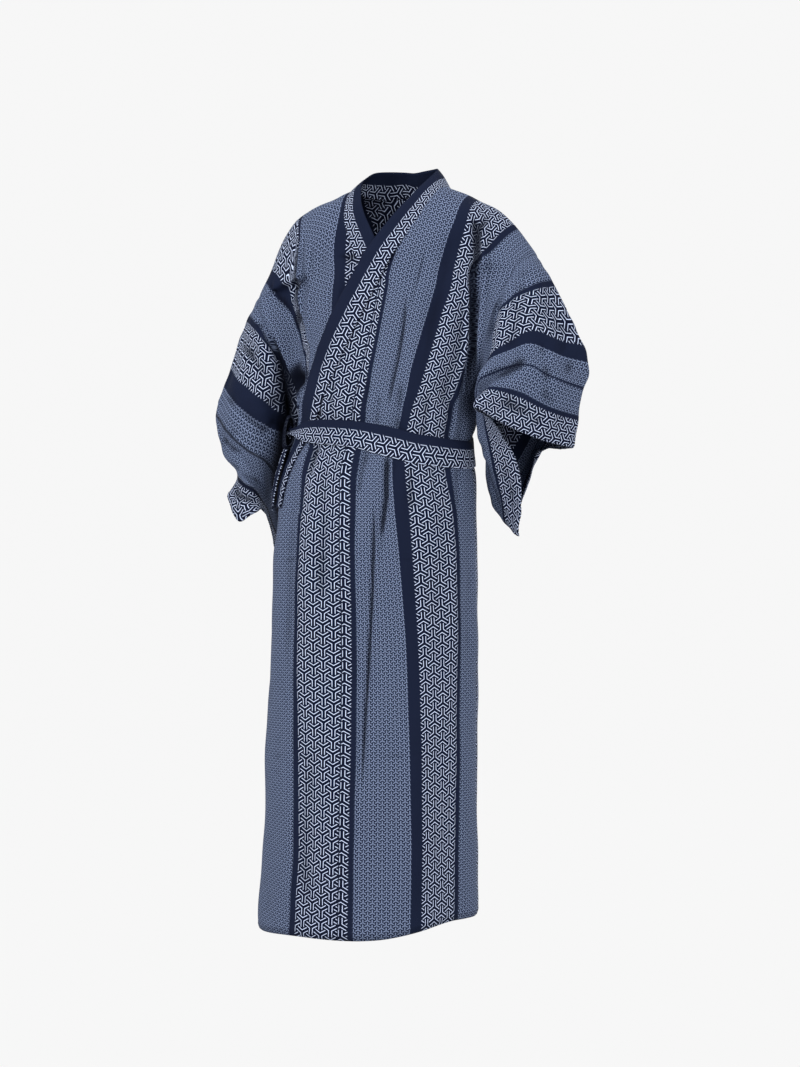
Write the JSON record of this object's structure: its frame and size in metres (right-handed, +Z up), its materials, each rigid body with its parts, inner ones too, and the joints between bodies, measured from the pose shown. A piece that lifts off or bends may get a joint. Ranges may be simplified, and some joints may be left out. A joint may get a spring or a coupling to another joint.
{
  "type": "yukata robe",
  "caption": "Long wrapped cotton robe with wide sleeves, a crossed collar and a cloth belt, hollow and open as if worn.",
  "frame": {"origin": "where the wearer's shoulders hold the robe up, at the neck base midway between the shoulders", "axes": "+Z up along the body, the robe faces -Y, +X to the wearer's left"},
  "size_m": [0.7466, 0.3689, 1.4192],
  "materials": {
    "body_panel_left": "plain cotton weave with woven-look printed stripes",
    "body_panel_right": "plain cotton weave with woven-look printed stripes",
    "overlap_left": "plain cotton weave with woven-look printed stripes",
    "overlap_right": "plain cotton weave with woven-look printed stripes",
    "collar": "plain cotton weave with woven-look printed stripes",
    "sleeve_left": "plain cotton weave with woven-look printed stripes",
    "sleeve_right": "plain cotton weave with woven-look printed stripes",
    "belt": "plain cotton weave with woven-look printed stripes",
    "belt_knot": "plain cotton weave with woven-look printed stripes",
    "belt_tail_long": "plain cotton weave with woven-look printed stripes",
    "belt_tail_short": "plain cotton weave with woven-look printed stripes"
  },
  "bodies": {
    "root": {"body_panel_left": "body_panel_left", "body_panel_right": "body_panel_right", "overlap_left": "overlap_left", "overlap_right": "overlap_right", "collar": "collar", "sleeve_left": "sleeve_left", "sleeve_right": "sleeve_right", "belt": "belt", "belt_knot": "belt_knot", "belt_tail_long": "belt_tail_long", "belt_tail_short": "belt_tail_short"}
  },
  "joints": []
}
